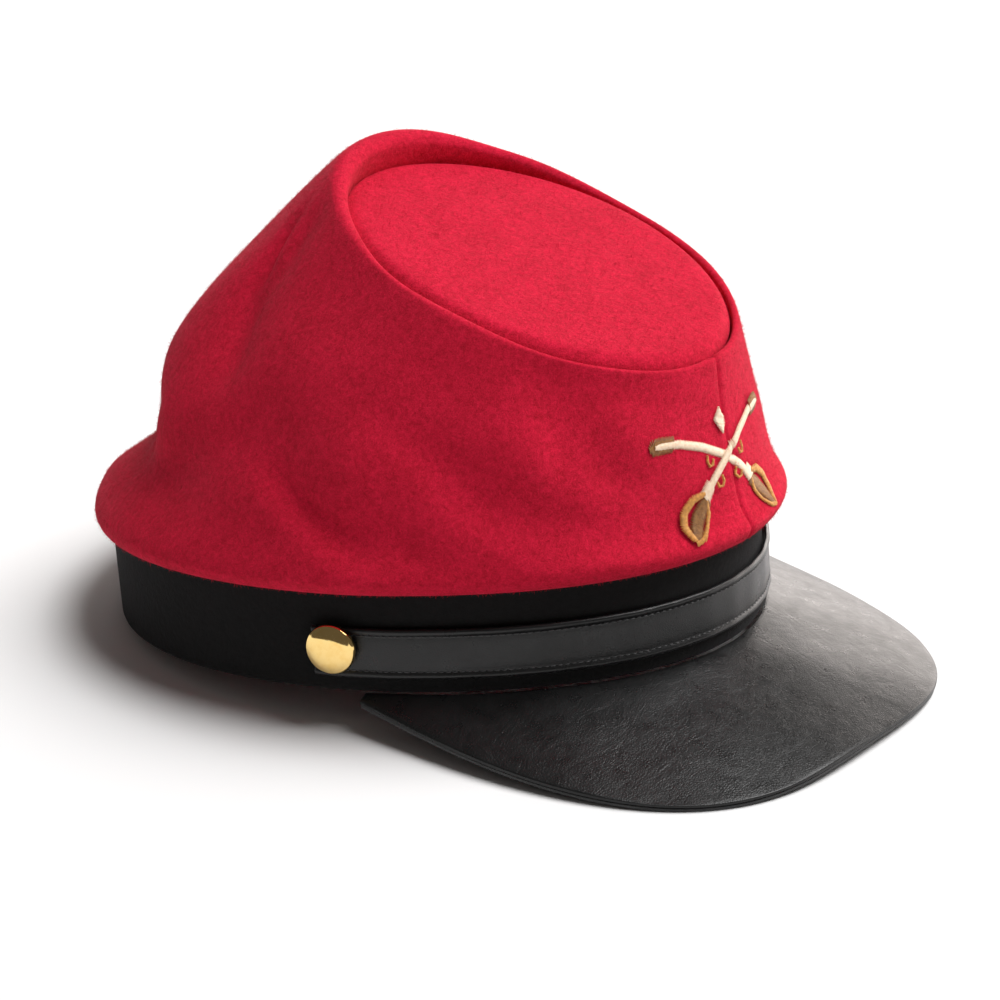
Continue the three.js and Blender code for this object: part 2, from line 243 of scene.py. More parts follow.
class Nodes:
    """A small hand for wiring a material's nodes."""

    def __init__(self, name: str) -> None:
        """Starts a material with one shader joined to its output."""
        self.material = bpy.data.materials.new(name)
        self.material.use_nodes = True
        self.tree = self.material.node_tree
        self.shader = self.tree.nodes["Principled BSDF"]
        self.place = self.add("ShaderNodeTexCoord").outputs["Object"]

    def add(self, kind: str, **settings: object) -> bpy.types.Node:
        """Adds a node with these settings."""
        node = self.tree.nodes.new(kind)
        for name, value in settings.items():
            setattr(node, name, value)
        return node

    def wire(self, source: bpy.types.NodeSocket, target: bpy.types.NodeSocket) -> None:
        """Joins two sockets."""
        self.tree.links.new(source, target)

    def noise(self, size_mm: float, detail: float = 3, rough: float = 0.5, distortion: float = 0,
              stretch: Sequence[float] = (1, 1, 1)) -> bpy.types.NodeSocket:
        """Noise whose lumps are about a size.

        Args:
            size_mm: The size of its lumps.
            detail: How many finer layers it has.
            rough: How strong the finer ones are.
            distortion: How much it is stirred.
            stretch: How long the lumps are along each axis.

        Returns:
            Its value, about 0.5 on the whole.
        """
        mapping = self.add("ShaderNodeMapping")
        mapping.inputs["Scale"].default_value = [1 / each for each in stretch]
        self.wire(self.place, mapping.inputs["Vector"])
        node = self.add("ShaderNodeTexNoise")
        node.inputs["Scale"].default_value = 1 / (size_mm * MM)
        node.inputs["Detail"].default_value = detail
        node.inputs["Roughness"].default_value = rough
        node.inputs["Distortion"].default_value = distortion
        self.wire(mapping.outputs["Vector"], node.inputs["Vector"])
        return node.outputs["Fac"]

    def ramp(self, value: bpy.types.NodeSocket, *stops: tuple[float, Sequence[float]]) -> bpy.types.NodeSocket:
        """Colours a value by stops, each a place and a colour."""
        node = self.add("ShaderNodeValToRGB")
        elements = node.color_ramp.elements
        while len(elements) < len(stops):
            elements.new(0.5)
        for element, (place, colour) in zip(elements, stops):
            element.position = place
            element.color = (*colour, 1)
        self.wire(value, node.inputs["Fac"])
        return node.outputs["Color"]

    def math(self, operation: str, first: object, second: object = 0.0) -> bpy.types.NodeSocket:
        """Works out a value from two others, each a socket or a number."""
        node = self.add("ShaderNodeMath", operation=operation)
        for socket, value in zip(node.inputs, (first, second)):
            if isinstance(value, bpy.types.NodeSocket):
                self.wire(value, socket)
            else:
                socket.default_value = value
        return node.outputs["Value"]

    def mixed(self, share: object, first: object, second: object) -> bpy.types.NodeSocket:
        """Mixes two colours by a share, each a socket or a plain value."""
        node = self.add("ShaderNodeMix", data_type="RGBA")
        for socket, value in zip((node.inputs[0], node.inputs[6], node.inputs[7]), (share, first, second)):
            if isinstance(value, bpy.types.NodeSocket):
                self.wire(value, socket)
            else:
                socket.default_value = value if isinstance(value, float) else (*value, 1)
        return node.outputs[2]

    def bump(self, height: bpy.types.NodeSocket, depth_mm: float, strength: float = 1,
             under: bpy.types.NodeSocket | None = None) -> bpy.types.NodeSocket:
        """Roughens the surface by a height, over another roughening if one is given."""
        node = self.add("ShaderNodeBump")
        node.inputs["Distance"].default_value = depth_mm * MM
        node.inputs["Strength"].default_value = strength
        self.wire(height, node.inputs["Height"])
        if under is not None:
            self.wire(under, node.inputs["Normal"])
        return node.outputs["Normal"]


@dataclass(frozen=True)
class FeltFinish:
    """Napped wool felt: a dense mat of fine fibres, a little clouded where it has been brushed."""

    name: str
    pale: tuple[float, float, float]
    deep: tuple[float, float, float]
    sheen: float
    sheen_tint: tuple[float, float, float]
    nap_depth: float = 0.22

    def material(self) -> bpy.types.Material:
        """Makes the felt's material."""
        nodes = Nodes(self.name)
        fibres = nodes.noise(0.42, detail=4, rough=0.65, distortion=0.6)
        mat = nodes.noise(1.6, detail=3, rough=0.6, distortion=0.4)
        clouds = nodes.noise(14, detail=3, rough=0.55, distortion=0.8)
        tone = nodes.math("ADD", nodes.math("MULTIPLY", fibres, 0.5), nodes.math("MULTIPLY", mat, 0.36))
        tone = nodes.math("ADD", tone, nodes.math("MULTIPLY", clouds, 0.14))
        colour = nodes.ramp(tone, (0.34, self.deep), (0.62, self.pale))
        nodes.wire(colour, nodes.shader.inputs["Base Color"])
        nodes.shader.inputs["Roughness"].default_value = 0.95
        nodes.shader.inputs["Specular IOR Level"].default_value = 0.15
        nodes.shader.inputs["Sheen Weight"].default_value = self.sheen
        nodes.shader.inputs["Sheen Roughness"].default_value = 0.45
        nodes.shader.inputs["Sheen Tint"].default_value = (*self.sheen_tint, 1)
        under = nodes.bump(mat, 0.5, 0.5)
        nodes.wire(nodes.bump(fibres, self.nap_depth, 0.9, under), nodes.shader.inputs["Normal"])
        return nodes.material


@dataclass(frozen=True)
class LeatherFinish:
    """Thin dressed leather with a fine pebbled grain and, where it is large, the creases of its hide."""

    name: str
    pale: tuple[float, float, float]
    deep: tuple[float, float, float]
    roughness: tuple[float, float] = (0.34, 0.5)
    grain_mm: float = 0.75
    grain_depth: float = 0.12
    crease_depth: float = 0.0
    coat: float = 0.12

    def cells(self, nodes: Nodes, size_mm: float, stir_mm: float, stretch: Sequence[float]) -> bpy.types.NodeSocket:
        """The net of furrows between the cells of the grain: 0 in a furrow, and rising across a cell.

        Args:
            nodes: The material being made.
            size_mm: How large a cell is.
            stir_mm: How far the net is pushed about.
            stretch: How long the cells are along each axis.

        Returns:
            The height of the net.
        """
        push = nodes.add("ShaderNodeTexNoise")
        push.inputs["Scale"].default_value = 0.5 / (size_mm * MM)
        push.inputs["Detail"].default_value = 2
        nodes.wire(nodes.place, push.inputs["Vector"])
        scaled = nodes.add("ShaderNodeVectorMath", operation="MULTIPLY_ADD")
        scaled.inputs[1].default_value = (stir_mm * MM,) * 3
        nodes.wire(push.outputs["Color"], scaled.inputs[0])
        nodes.wire(nodes.place, scaled.inputs[2])
        mapping = nodes.add("ShaderNodeMapping")
        mapping.inputs["Scale"].default_value = [1 / each for each in stretch]
        nodes.wire(scaled.outputs["Vector"], mapping.inputs["Vector"])
        net = nodes.add("ShaderNodeTexVoronoi", feature="DISTANCE_TO_EDGE")
        net.inputs["Scale"].default_value = 1 / (size_mm * MM)
        nodes.wire(mapping.outputs["Vector"], net.inputs["Vector"])
        return net.outputs["Distance"]

    def material(self) -> bpy.types.Material:
        """Makes the leather's material."""
        nodes = Nodes(self.name)
        clouds = nodes.noise(11, detail=4, rough=0.6, distortion=0.5)
        specks = nodes.noise(0.5, detail=2, rough=0.5)
        colour = nodes.ramp(nodes.math("ADD", nodes.math("MULTIPLY", clouds, 0.7),
                                       nodes.math("MULTIPLY", specks, 0.3)), (0.36, self.deep), (0.64, self.pale))
        nodes.wire(colour, nodes.shader.inputs["Base Color"])
        rough = nodes.add("ShaderNodeMapRange")
        rough.inputs["From Min"].default_value, rough.inputs["From Max"].default_value = 0.35, 0.65
        rough.inputs["To Min"].default_value, rough.inputs["To Max"].default_value = self.roughness
        nodes.wire(nodes.noise(6, detail=4, rough=0.65), rough.inputs["Value"])
        nodes.wire(rough.outputs["Result"], nodes.shader.inputs["Roughness"])
        nodes.shader.inputs["Specular IOR Level"].default_value = 0.3
        nodes.shader.inputs["Coat Weight"].default_value = self.coat
        nodes.shader.inputs["Coat Roughness"].default_value = 0.3
        grain = self.cells(nodes, self.grain_mm, self.grain_mm * 0.3, (1, 1, 1))
        surface = nodes.bump(nodes.math("MINIMUM", grain, 0.35), self.grain_depth * 3, 0.55)
        if self.crease_depth:
            long = self.cells(nodes, 17, 9, (2.2, 0.9, 1))
            furrow = nodes.math("MINIMUM", nodes.math("MULTIPLY", long, 22), 1.0)
            surface = nodes.bump(furrow, self.crease_depth, 0.4, surface)
            for size, stretch in ((11, (1.0, 2.6, 1.0)), (7, (2.2, 1.0, 1.0))):
                flow = nodes.noise(size, detail=2, rough=0.55, distortion=1.6, stretch=stretch)
                aside = nodes.math("ABSOLUTE", nodes.math("SUBTRACT", flow, 0.5))
                wrinkle = nodes.math("MINIMUM", nodes.math("MULTIPLY", aside, 18), 1.0)
                surface = nodes.bump(wrinkle, self.crease_depth, 0.4, surface)
            surface = nodes.bump(nodes.noise(19, detail=2, rough=0.5, distortion=0.5), 0.9, 0.35, surface)
        nodes.wire(surface, nodes.shader.inputs["Normal"])
        return nodes.material


@dataclass(frozen=True)
class GiltFinish:
    """Polished gilt brass, faintly hazed and scratched."""

    name: str = "gilt_brass"
    colour: tuple[float, float, float] = (0.95, 0.68, 0.27)
    dull: tuple[float, float, float] = (0.9, 0.6, 0.2)

    def material(self) -> bpy.types.Material:
        """Makes the gilt's material."""
        nodes = Nodes(self.name)
        haze = nodes.noise(2.2, detail=4, rough=0.6)
        nodes.wire(nodes.ramp(haze, (0.3, self.dull), (0.55, self.colour)), nodes.shader.inputs["Base Color"])
        nodes.shader.inputs["Metallic"].default_value = 1
        rough = nodes.add("ShaderNodeMapRange")
        rough.inputs["To Min"].default_value, rough.inputs["To Max"].default_value = 0.03, 0.13
        nodes.wire(haze, rough.inputs["Value"])
        nodes.wire(rough.outputs["Result"], nodes.shader.inputs["Roughness"])
        nodes.wire(nodes.bump(nodes.noise(0.8, detail=2), 0.02, 0.4), nodes.shader.inputs["Normal"])
        return nodes.material


@dataclass(frozen=True)
class ThreadFinish:
    """Lustrous embroidery thread, or plain sewing thread, twisted and a little uneven in shade."""

    name: str
    pale: tuple[float, float, float]
    deep: tuple[float, float, float]
    sheen: float = 0.4
    roughness: float = 0.5

    def material(self) -> bpy.types.Material:
        """Makes the thread's material."""
        nodes = Nodes(self.name)
        shade = nodes.noise(0.8, detail=3, rough=0.6)
        nodes.wire(nodes.ramp(shade, (0.3, self.deep), (0.65, self.pale)), nodes.shader.inputs["Base Color"])
        nodes.shader.inputs["Roughness"].default_value = self.roughness
        nodes.shader.inputs["Sheen Weight"].default_value = self.sheen
        nodes.wire(nodes.bump(nodes.noise(0.16, detail=1), 0.05, 0.5), nodes.shader.inputs["Normal"])
        return nodes.material


RED_FELT = FeltFinish("red_wool_felt", (0.7, 0.012, 0.05), (0.34, 0.004, 0.014), 0.035, (1.0, 0.5, 0.55))
BLACK_FELT = FeltFinish("black_wool_felt", (0.011, 0.0105, 0.0105), (0.006, 0.006, 0.006), 0.06, (0.6, 0.6, 0.65), 0.18)
PEAK_LEATHER = LeatherFinish(
    "peak_leather", (0.01, 0.0102, 0.0104), (0.006, 0.0061, 0.0062), (0.26, 0.36),
    grain_depth=0.05, crease_depth=0.04, coat=0.03,
)
LINING_LEATHER = LeatherFinish("peak_underside_leather", (0.045, 0.046, 0.047), (0.03, 0.031, 0.032), (0.5, 0.62), 0.6, 0.06)
STRAP_LEATHER = LeatherFinish(
    "strap_leather", (0.011, 0.0112, 0.0115), (0.0065, 0.0066, 0.0068), (0.26, 0.36), 0.6, 0.06, coat=0.2
)
BLACK_THREAD = ThreadFinish("black_thread", (0.05, 0.05, 0.052), (0.02, 0.02, 0.021), 0.2)


# ---------------------------------------------------------------- crown


@dataclass(frozen=True)
class Fold:
    """A soft line in the cloth, raised or sunk, between two places given by angle and height.

    Attributes:
        start: Where it starts: degrees round from the right, and millimetres up.
        end: Where it ends.
        width: Half its width.
        height: How far it stands out, or sinks if negative.
    """

    start: tuple[float, float]
    end: tuple[float, float]
    width: float
    height: float
    reach: float = 84.0

    def at(self, angle_deg: np.ndarray, up: np.ndarray) -> np.ndarray:
        """How far the fold moves the cloth at places round and up the wall."""
        turn = (angle_deg - self.start[0] + 180) % 360 - 180
        place = np.stack([np.radians(turn) * self.reach, up - self.start[1]], -1)
        span = np.array([math.radians(self.end[0] - self.start[0]) * self.reach, self.end[1] - self.start[1]])
        length = np.linalg.norm(span)
        along = place @ (span / length)
        aside = place @ (np.array([-span[1], span[0]]) / length)
        past = np.maximum(np.maximum(-along, along - length), 0)
        taper = np.clip(np.sin(np.clip(along / length, 0.02, 0.98) * math.pi), 0, 1) ** 0.5
        return self.height * taper * np.exp(-((aside / self.width) ** 2) - (past / self.width) ** 2)


@dataclass
class CrownSide:
    """The red felt wall of the crown: one cloth with a seam down the front, rolled over at the rim."""

    name: str = "crown_side_felt"
    seam_side: float = 4.0
    seam_half_width: float = 0.5
    seam_depth: float = 0.55
    ripple: float = 0.35
    folds: tuple[Fold, ...] = (
        Fold((-30, 120), (-27, 96), 2.6, -2.4),
        Fold((-25, 119), (-21, 98), 4.5, 1.3),
        Fold((-26, 97), (-14, 78), 6.0, -1.6),
        Fold((-3, 57), (20, 38), 4.6, 1.4),
        Fold((2, 60), (25, 39), 4.6, -1.3),
        Fold((9, 60), (31, 38), 4.5, 1.3),
        Fold((15, 84), (48, 57), 7.0, -1.1),
        Fold((20, 66), (44, 44), 5.0, -1.0),
        Fold((31, 58), (46, 43), 5.0, 1.1),
        Fold((58, 80), (60, 52), 5.0, -0.9),
        Fold((-38, 74), (-46, 52), 10.0, -3.2),
        Fold((-40, 44), (-62, 42), 6.0, 1.6),
        Fold((152, 60), (176, 44), 5.0, 1.2),
        Fold((146, 62), (170, 42), 4.5, -1.2),
        Fold((206, 116), (204, 94), 3.5, -1.6),
    )
    piece: bpy.types.Object | None = field(default=None, init=False)

    def build(self) -> bpy.types.Object:
        """Rounds the frame's wall, cuts the front seam's edges into it and presses the seam in.

        Returns:
            The finished wall.
        """
        self.piece = copy_of_node("crown_side", self.name)
        subdivide(self.piece, 2)
        self.cut_seam_edges()
        move_points(self.piece, self.shaped)
        smooth(self.piece)
        finish_piece(self.piece, "red_felt", RED_FELT.material(), "crown_side")
        return self.piece

    def cut_seam_edges(self) -> None:
        """Cuts the front of the wall along planes close to the middle, so that the seam has edges of its own."""
        front = CAD_BOX[0][1] + 95 * MM
        for x in (-2.4, -1.2, -0.45, 0, 0.45, 1.2, 2.4):
            place = (self.seam_side + x) * MM
            with editing(self.piece):
                bpy.ops.object.mode_set(mode="OBJECT")
                for face in self.piece.data.polygons:
                    face.select = abs(face.center.x) < 12 * MM and face.center.y < front
                bpy.ops.object.mode_set(mode="EDIT")
                bpy.ops.mesh.bisect(plane_co=(place, 0, 0), plane_no=(1, 0, 0))

    def shaped(self, points: np.ndarray, normals: np.ndarray) -> np.ndarray:
        """Presses in the front seam and gives the cloth its small unevenness.

        Args:
            points: The wall's points.
            normals: Their outward directions.

        Returns:
            The moved points.
        """
        own = CAP.own(points)
        at_front = np.clip((-own[:, 1] - 60) / 10, 0, 1)
        aside = own[:, 0] - self.seam_side
        seam = -self.seam_depth * np.exp(-((aside / self.seam_half_width) ** 2)) * at_front
        beside = 0.12 * np.exp(-(((np.abs(aside) - 2.4) / 1.8) ** 2)) * at_front
        x, y, z = own.T
        waves = np.sin(x / 9.1 + 1.3 * np.sin(z / 14.2)) * np.sin(y / 10.7 + 1.1 * np.sin(x / 17)) + 0.6 * np.sin(
            z / 6.3 + x / 12.5 + y / 15.1
        )
        outer = np.clip((own[:, 2] - 32) / 6, 0, 1)
        angle = np.degrees(np.arctan2(-(y + 5), -x))
        creased = sum(fold.at(angle, z) for fold in self.folds)
        faces_out = np.where((normals * (points - points.mean(0))).sum(1) > 0, 1.0, -1.0)
        moved = seam + beside + (self.ripple * waves + creased * faces_out) * outer
        return points + normals * (moved * MM)[:, None]


@dataclass
class CrownTop:
    """The red felt oval let into the top of the crown, its edge curling down into the seam."""

    name: str = "crown_top_felt"
    half_width: float = 49.6
    half_length: float = 59.0
    forward: float = 40.5
    up: float = 103.0
    lean_deg: float = 21.5
    thickness: float = 1.6
    rings: int = 9

    def build(self) -> bpy.types.Object:
        """Spreads a disc into rings, stretches it to the oval and lays it in the crown.

        Returns:
            The finished top.
        """
        bpy.ops.object.select_all(action="DESELECT")
        bpy.ops.mesh.primitive_circle_add(vertices=96, radius=1, fill_type="NGON")
        piece = bpy.context.object
        piece.name = self.name
        with editing(piece):
            bpy.ops.mesh.select_all(action="SELECT")
            for ring in range(self.rings):
                bpy.ops.mesh.inset(thickness=0.03 if ring < 3 else 0.13, depth=0)
            bpy.ops.mesh.select_all(action="SELECT")
            bpy.ops.mesh.quads_convert_to_tris()
            bpy.ops.mesh.tris_convert_to_quads()
        move_points(piece, self.laid)
        apply_modifier(piece, "SOLIDIFY", thickness=self.thickness * MM, offset=-1)
        subdivide(piece, 2)
        smooth(piece)
        finish_piece(piece, "red_felt", RED_FELT.material(), "crown_top")
        return piece

    def laid(self, points: np.ndarray, _: np.ndarray) -> np.ndarray:
        """Takes points of a flat round disc to their places in the crown.

        Args:
            points: Points of a disc of radius 1.

        Returns:
            Their places in the frame.
        """
        radius = np.hypot(points[:, 0], points[:, 1])
        at_back = np.clip(points[:, 1], 0, 1) ** 2
        edge = -(4.2 - 3.1 * at_back) * np.clip((radius - 0.91) / 0.09, 0, 1) ** 2.2
        swell = 0.6 * (1 - radius**2) - 0.6 + 1.6 * (1 - at_back)
        crease = 0.5 * np.exp(-(((points[:, 0] * 0.5 + points[:, 1] - 0.45) / 0.12) ** 2)) * (1 - radius**2)
        height = edge + swell + crease
        lean = math.radians(self.lean_deg)
        x = points[:, 0] * self.half_width
        y = -self.forward + points[:, 1] * self.half_length * math.cos(lean) - height * math.sin(lean)
        z = self.up + points[:, 1] * self.half_length * math.sin(lean) + height * math.cos(lean)
        return CAP.place(np.stack([x, y, z], -1))


@dataclass
class Nap:
    """The short loose fibres that stand up from a felt, each a narrow bent blade.

    Attributes:
        felt: The felt that they stand on.
        count: How many there are.
        colour: The material they take.
        lengths: The shortest and the longest, in millimetres.
        thickness: How wide a fibre is at its foot.
    """

    felt: bpy.types.Object
    count: int
    colour: bpy.types.Material
    seed: int = 7
    lengths: tuple[float, float] = (0.7, 1.7)
    thickness: float = 0.075

    def build(self) -> bpy.types.Object:
        """Scatters the fibres evenly over the outer faces of the felt.

        Returns:
            All the fibres, as one piece.
        """
        random = np.random.default_rng(self.seed)
        feet, normals = self.feet(random)
        around = random.normal(size=feet.shape)
        flat = around - normals * (around * normals).sum(1, keepdims=True)
        flat /= np.linalg.norm(flat, axis=1, keepdims=True)
        lean = random.uniform(0.15, 0.75, (self.count, 1))
        reach = random.uniform(*self.lengths, (self.count, 1)) * MM
        side = np.cross(flat, normals) * (self.thickness / 2 * MM)
        middle = feet + (flat * 0.5 + normals * lean * 0.6) * reach
        tip = feet + (flat * (1.1 - lean) + normals * lean) * reach
        points = np.stack([feet - side, feet + side, middle + side * 0.8, middle - side * 0.8, tip], 1)
        first = np.arange(self.count)[:, None] * 5
        mesh = bpy.data.meshes.new(f"{self.felt.name}_nap")
        blades = (first + np.array([0, 1, 2, 3])).tolist() + (first + np.array([3, 2, 4])).tolist()
        mesh.from_pydata(points.reshape(-1, 3).tolist(), [], blades)
        mesh.update()
        piece = bpy.data.objects.new(mesh.name, mesh)
        bpy.context.scene.collection.objects.link(piece)
        finish_piece(piece, "red_felt", self.colour)
        return piece

    def feet(self, random: np.random.Generator) -> tuple[np.ndarray, np.ndarray]:
        """Picks where the fibres stand, by area, and which way the cloth faces there."""
        mesh = self.felt.data
        mesh.calc_loop_triangles()
        places = np.empty(len(mesh.vertices) * 3)
        mesh.vertices.foreach_get("co", places)
        corners = np.empty(len(mesh.loop_triangles) * 3, dtype=np.int32)
        mesh.loop_triangles.foreach_get("vertices", corners)
        a, b, c = places.reshape(-1, 3)[corners.reshape(-1, 3)].transpose(1, 0, 2)
        cross = np.cross(b - a, c - a)
        area = np.linalg.norm(cross, axis=1)
        normal = cross / np.maximum(area, 1e-15)[:, None]
        inside = CAP.place(np.array([[0.0, -25.0, 40.0]]))[0]
        area = area * ((normal * ((a + b + c) / 3 - inside)).sum(1) > 0)
        picked = random.choice(len(area), self.count, p=area / area.sum())
        u, v = random.random((2, self.count, 1))
        u, v = np.where(u + v > 1, 1 - u, u), np.where(u + v > 1, 1 - v, v)
        spots = a[picked] + (b - a)[picked] * u + (c - a)[picked] * v
        return spots, normal[picked]


# ---------------------------------------------------------------- band, strap and buttons


@dataclass
class HeadBand:
    """The stiff black felt band: a thick ring with softened edges."""

    name: str = "band_felt"
    wall: float = 3.0
    soften: float = 0.8

    def build(self) -> bpy.types.Object:
        """Draws the band up from a ring, bends the ring to the head's oval and thickens it.

        Returns:
            The finished band.
        """
        bpy.ops.object.select_all(action="DESELECT")
        bpy.ops.mesh.primitive_cylinder_add(vertices=160, radius=1, depth=2, end_fill_type="NOTHING")
        piece = bpy.context.object
        piece.name = self.name
        for height in (-0.9, -0.6, -0.2, 0.2, 0.6, 0.9):
            with editing(piece):
                bpy.ops.mesh.select_all(action="SELECT")
                bpy.ops.mesh.bisect(plane_co=(0, 0, height), plane_no=(0, 0, 1))
        move_points(piece, self.bent)
        apply_modifier(piece, "SOLIDIFY", thickness=self.wall * MM, offset=-1)
        apply_modifier(piece, "BEVEL", width=self.soften * MM, segments=3, limit_method="ANGLE")
        smooth(piece, 50)
        finish_piece(piece, "black_felt", BLACK_FELT.material(), "band")
        return piece

    def bent(self, points: np.ndarray, _: np.ndarray) -> np.ndarray:
        """Takes points of a round unit ring to the band's outer face.

        Args:
            points: Points of the ring, from -1 to 1 in height.

        Returns:
            Their places in the frame.
        """
        angle = np.arctan2(-points[:, 1], -points[:, 0])
        height = (points[:, 2] + 1) / 2 * CAP.band_height
        slack = 0.25 * np.sin(5 * angle + 0.6) * np.sin(height / CAP.band_height * math.pi)
        return CAP.place(CAP.band_point(angle, slack - 0.05, height))


@dataclass
class ChinStrap:
    """The black leather strap across the front, its long edges folded over and stitched down."""

    name: str = "chin_strap_leather"
    low: float = 4.4
    width: float = 14.6
    thickness: float = 1.3
    gap: float = 0.3
    start_deg: float = 13.25
    steps: int = 260
    stitch_inset: float = 2.3
    stitch_length: float = 1.35
    stitch_pitch: float = 1.85
    stitch_thickness: float = 0.34

    # The strap's section: how far up its width, and how far its face stands out there.
    PROFILE = (
        (0.0, 0.75), (0.025, 1.45), (0.06, 1.75), (0.1, 1.72), (0.14, 1.4), (0.165, 1.15), (0.2, 1.3), (0.3, 1.42),
        (0.5, 1.46), (0.7, 1.42), (0.8, 1.3), (0.835, 1.15), (0.86, 1.4), (0.9, 1.72), (0.94, 1.75), (0.975, 1.45),
        (1.0, 0.75),
    )

    def face(self, angle: np.ndarray, share: np.ndarray, above: float = 0.0) -> np.ndarray:
        """Places on the strap's face.

        Args:
            angle: Angles round the band.
            share: Shares of the way up the strap's width.
            above: How far above the face.

        Returns:
            The places, in the frame.
        """
        shares, outs = np.array(self.PROFILE).T
        ripple = 0.12 * np.sin(angle * 31) * np.sin(angle * 13 + 2)
        out = self.gap + np.interp(share, shares, outs) + ripple + above
        return CAP.place(CAP.band_point(angle, out, self.low + share * self.width))

    def build(self) -> list[bpy.types.Object]:
        """Makes the strap and its two rows of stitches.

        Returns:
            The strap and its stitches.
        """
        start = math.radians(self.start_deg)
        angles = CAP.angles_by_length(start, math.pi - start, self.steps)
        rows = len(self.PROFILE)
        bpy.ops.object.select_all(action="DESELECT")
        bpy.ops.mesh.primitive_grid_add(x_subdivisions=self.steps - 1, y_subdivisions=rows - 1, size=2)
        strap = bpy.context.object
        strap.name = self.name
        shares = np.array(self.PROFILE)[:, 0]

        def bent(points: np.ndarray, _: np.ndarray) -> np.ndarray:
            """Bends the flat grid round the band."""
            column = np.rint((points[:, 0] + 1) / 2 * (self.steps - 1)).astype(int)
            row = np.rint((points[:, 1] + 1) / 2 * (rows - 1)).astype(int)
            return self.face(angles[column], shares[row])

        move_points(strap, bent)
        with editing(strap):
            bpy.ops.mesh.select_all(action="SELECT")
            bpy.ops.mesh.normals_make_consistent(inside=False)
        if (strap.data.vertices[strap.data.polygons[0].vertices[0]].co.xy - Vector((0, 0.02))).dot(
            strap.data.polygons[0].normal.xy
        ) < 0:
            with editing(strap):
                bpy.ops.mesh.select_all(action="SELECT")
                bpy.ops.mesh.flip_normals()
        apply_modifier(strap, "SOLIDIFY", thickness=0.8 * MM, offset=-1)
        subdivide(strap, 1)
        smooth(strap, 60)
        finish_piece(strap, "black_leather", STRAP_LEATHER.material(), "chin_strap")
        return [strap, self.stitches(start)]

    def stitches(self, start: float) -> bpy.types.Object:
        """Sews the folds down: a short stitch at a time, along both edges.

        Args:
            start: The angle of the strap's end.

        Returns:
            All the stitches, as one piece.
        """
        count = int(CAP.length_between(start, math.pi - start) / self.stitch_pitch)
        angles = CAP.angles_by_length(start + 0.02, math.pi - start - 0.02, count)
        half = self.stitch_length / 2 / CAP.length_between(start, math.pi - start) * (math.pi - 2 * start)
        ends = []
        for row, lean in ((self.stitch_inset / self.width, 0.0), (1 - self.stitch_inset / self.width, 0.0)):
            share = np.full(count, row)
            ends.append((self.face(angles - half, share - lean, 0.02), self.face(angles + half, share + lean, 0.02)))
        starts = np.concatenate([each[0] for each in ends])
        finishes = np.concatenate([each[1] for each in ends])
        piece = threads("strap_stitches", starts, finishes, self.stitch_thickness * MM, 0.12 * MM)
        finish_piece(piece, "black_leather", BLACK_THREAD.material())
        return piece


def threads(name: str, starts: np.ndarray, ends: np.ndarray, thickness: float, lift: float,
            outwards: np.ndarray | None = None, sides: int = 6, rings: int = 5) -> bpy.types.Object:
    """Lays many short threads at once, each a rounded bar that rises a little at its middle.

    Args:
        name: The piece's name.
        starts: Where each thread starts, as rows.
        ends: Where each ends.
        thickness: How thick a thread is.
        lift: How far its middle rises.
        outwards: The direction that each rises in; from the cap's middle if not given.
        sides: Sides of its section.
        rings: Sections along it.

    Returns:
        All the threads, as one piece.
    """
    along = ends - starts
    length = np.linalg.norm(along, axis=1, keepdims=True)
    along = along / np.maximum(length, 1e-9)
    if outwards is None:
        outwards = (starts + ends) / 2 - np.array([0, 0.02, 0.05])
        outwards[:, 2] = 0
    outwards = outwards - along * (outwards * along).sum(1, keepdims=True)
    outwards /= np.linalg.norm(outwards, axis=1, keepdims=True)
    sideways = np.cross(along, outwards)
    places = np.linspace(0, 1, rings)
    widths = np.sqrt(np.maximum(1 - (2 * places - 1) ** 4, 0.05))
    turns = np.arange(sides) * 2 * math.pi / sides
    vertices = []
    for place, width in zip(places, widths):
        middle = starts + along * length * place + outwards * (lift * math.sin(math.pi * place))
        for turn in turns:
            out = outwards * math.sin(turn) + sideways * math.cos(turn)
            vertices.append(middle + out * (thickness / 2 * width))
    points = np.stack(vertices, 1)
    faces = []
    for ring in range(rings - 1):
        for side in range(sides):
            a = ring * sides + side
            b = ring * sides + (side + 1) % sides
            faces.append((a, b, b + sides, a + sides))
    faces = np.array(faces)
    caps = np.array([list(range(sides))[::-1], [(rings - 1) * sides + side for side in range(sides)]])
    size = sides * rings
    offsets = (np.arange(len(starts)) * size)[:, None, None]
    mesh = bpy.data.meshes.new(name)
    quads = (faces[None] + offsets).reshape(-1, 4).tolist()
    ends_faces = (caps[None] + offsets).reshape(-1, sides).tolist()
    mesh.from_pydata(points.reshape(-1, 3).tolist(), [], quads + ends_faces)
    mesh.update()
    piece = bpy.data.objects.new(name, mesh)
    bpy.context.scene.collection.objects.link(piece)
    with editing(piece):
        bpy.ops.mesh.select_all(action="SELECT")
        bpy.ops.mesh.normals_make_consistent(inside=False)
    smooth(piece)
    return piece


class Side(Enum):
    """Which of the wearer's sides a button is on."""

    RIGHT = "right"
    LEFT = "left"


